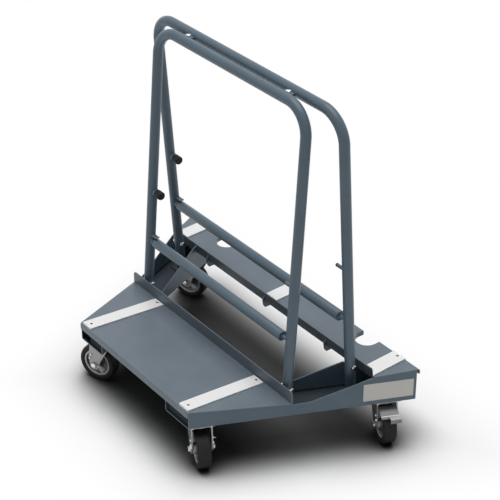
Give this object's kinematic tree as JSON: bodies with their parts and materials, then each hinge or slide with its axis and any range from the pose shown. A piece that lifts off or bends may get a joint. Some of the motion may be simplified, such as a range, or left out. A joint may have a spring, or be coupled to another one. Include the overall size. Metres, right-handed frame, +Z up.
{
  "type": "drywall cart",
  "caption": "Two-level drywall cart on swivel casters: leaning tube hoops with lift-out cross bars stand between a low and a high sheet-metal deck on flared end channels",
  "frame": {"origin": "on the floor, under the middle of the cart's box", "axes": "+X along the cart to its right end, -Y to the low loading side, +Z up"},
  "size_m": [1.3927, 0.762, 1.3361],
  "materials": {
    "frame_paint": "semi-gloss blue-grey enamel",
    "deck_paint": "blue-grey enamel, scuffed by boards",
    "strip": "white plastic with fine lengthwise grain",
    "zinc": "bright zinc plating",
    "black_rubber": "matt black rubber",
    "tyre": "black rubber tread",
    "rim": "cast aluminium wheel centre",
    "label": "bare satin plate"
  },
  "bodies": {
    "root": {"right_end_channel": "frame_paint", "left_end_channel": "frame_paint", "front_deck": "deck_paint", "rear_deck": "deck_paint", "deck_ribs": "frame_paint", "front_wear_strips": "strip", "rear_wear_strips": "strip", "strip_screws": "zinc", "label_plate": "label", "front_hoop": "frame_paint", "rear_hoop": "frame_paint", "front_hoop_feet": "frame_paint", "rear_hoop_feet": "frame_paint", "foot_bolts": "zinc", "front_top_ties": "frame_paint", "rear_top_ties": "frame_paint", "top_tie_bolts": "zinc", "bar_stubs": "frame_paint", "stub_caps": "black_rubber", "bar_pins": "frame_paint", "pin_tips": "black_rubber", "caster_bolts": "zinc", "kingpins": "zinc", "front_right_caster_plate": "zinc", "front_left_caster_plate": "zinc", "rear_right_caster_plate": "zinc", "rear_left_caster_plate": "zinc"},
    "front_right_swivel": {"front_right_fork": "zinc", "front_right_ball_race": "zinc", "front_right_axle": "zinc"},
    "front_right_wheel": {"front_right_rim": "rim", "front_right_tyre": "tyre"},
    "front_right_lever": {"front_right_side_lever": "zinc"},
    "front_left_swivel": {"front_left_fork": "zinc", "front_left_ball_race": "zinc", "front_left_axle": "zinc"},
    "front_left_wheel": {"front_left_rim": "rim", "front_left_tyre": "tyre"},
    "front_left_lever": {"front_left_side_lever": "zinc"},
    "rear_right_swivel": {"rear_right_fork": "zinc", "rear_right_ball_race": "zinc", "rear_right_axle": "zinc"},
    "rear_right_wheel": {"rear_right_rim": "rim", "rear_right_tyre": "tyre"},
    "rear_right_lever": {"rear_right_side_lever": "zinc"},
    "rear_right_pedal": {"rear_right_brake_pedal": "zinc"},
    "rear_left_swivel": {"rear_left_fork": "zinc", "rear_left_ball_race": "zinc", "rear_left_axle": "zinc"},
    "rear_left_wheel": {"rear_left_rim": "rim", "rear_left_tyre": "tyre"},
    "rear_left_lever": {"rear_left_side_lever": "zinc"},
    "rear_left_pedal": {"rear_left_brake_pedal": "zinc"},
    "front_bar": {"front_cross_bar": "frame_paint", "bar_end_plugs_front": "frame_paint"},
    "rear_bar": {"rear_cross_bar": "frame_paint", "bar_end_plugs_rear": "frame_paint"}
  },
  "joints": [
    {"name": "front_right_swivel_turn", "type": "hinge", "parent": "root", "child": "front_right_swivel", "pos_m": [0.3129, -0.30471, 0.1765], "axis": [0, 0, 1], "continuous": true},
    {"name": "front_right_wheel_spin", "type": "hinge", "parent": "front_right_swivel", "child": "front_right_wheel", "pos_m": [0.33479, -0.31454, 0.0762], "axis": [0.4095, 0.9123, 0], "continuous": true},
    {"name": "front_right_lever_press", "type": "hinge", "parent": "front_right_swivel", "child": "front_right_lever", "pos_m": [0.33479, -0.31454, 0.0762], "axis": [-0.4095, -0.9123, 0], "range_deg": [0, 25]},
    {"name": "front_left_swivel_turn", "type": "hinge", "parent": "root", "child": "front_left_swivel", "pos_m": [-0.3129, -0.30471, 0.1765], "axis": [0, 0, 1], "continuous": true},
    {"name": "front_left_wheel_spin", "type": "hinge", "parent": "front_left_swivel", "child": "front_left_wheel", "pos_m": [-0.33479, -0.31454, 0.0762], "axis": [0.4095, -0.9123, 0], "continuous": true},
    {"name": "front_left_lever_press", "type": "hinge", "parent": "front_left_swivel", "child": "front_left_lever", "pos_m": [-0.33479, -0.31454, 0.0762], "axis": [-0.4095, 0.9123, 0], "range_deg": [0, 25]},
    {"name": "rear_right_swivel_turn", "type": "hinge", "parent": "root", "child": "rear_right_swivel", "pos_m": [0.58929, 0.31111, 0.1765], "axis": [0, 0, 1], "continuous": true},
    {"name": "rear_right_wheel_spin", "type": "hinge", "parent": "rear_right_swivel", "child": "rear_right_wheel", "pos_m": [0.61118, 0.30128, 0.0762], "axis": [0.4095, 0.9123, 0], "continuous": true},
    {"name": "rear_right_lever_press", "type": "hinge", "parent": "rear_right_swivel", "child": "rear_right_lever", "pos_m": [0.61118, 0.30128, 0.0762], "axis": [-0.4095, -0.9123, 0], "range_deg": [0, 25]},
    {"name": "rear_right_pedal_press", "type": "hinge", "parent": "rear_right_swivel", "child": "rear_right_pedal", "pos_m": [0.62213, 0.29637, 0.1212], "axis": [0.4095, 0.9123, 0], "range_deg": [0, 6]},
    {"name": "rear_left_swivel_turn", "type": "hinge", "parent": "root", "child": "rear_left_swivel", "pos_m": [-0.58929, 0.31111, 0.1765], "axis": [0, 0, 1], "continuous": true},
    {"name": "rear_left_wheel_spin", "type": "hinge", "parent": "rear_left_swivel", "child": "rear_left_wheel", "pos_m": [-0.61118, 0.30128, 0.0762], "axis": [0.4095, -0.9123, 0], "continuous": true},
    {"name": "rear_left_lever_press", "type": "hinge", "parent": "rear_left_swivel", "child": "rear_left_lever", "pos_m": [-0.61118, 0.30128, 0.0762], "axis": [-0.4095, 0.9123, 0], "range_deg": [0, 25]},
    {"name": "rear_left_pedal_press", "type": "hinge", "parent": "rear_left_swivel", "child": "rear_left_pedal", "pos_m": [-0.62213, 0.29637, 0.1212], "axis": [0.4095, -0.9123, 0], "range_deg": [0, 6]},
    {"name": "front_bar_slide", "type": "slide", "parent": "root", "child": "front_bar", "axis": [-1, 0, 0], "range_m": [0, 0.016]},
    {"name": "rear_bar_slide", "type": "slide", "parent": "root", "child": "rear_bar", "axis": [-1, 0, 0], "range_m": [0, 0.016]}
  ]
}
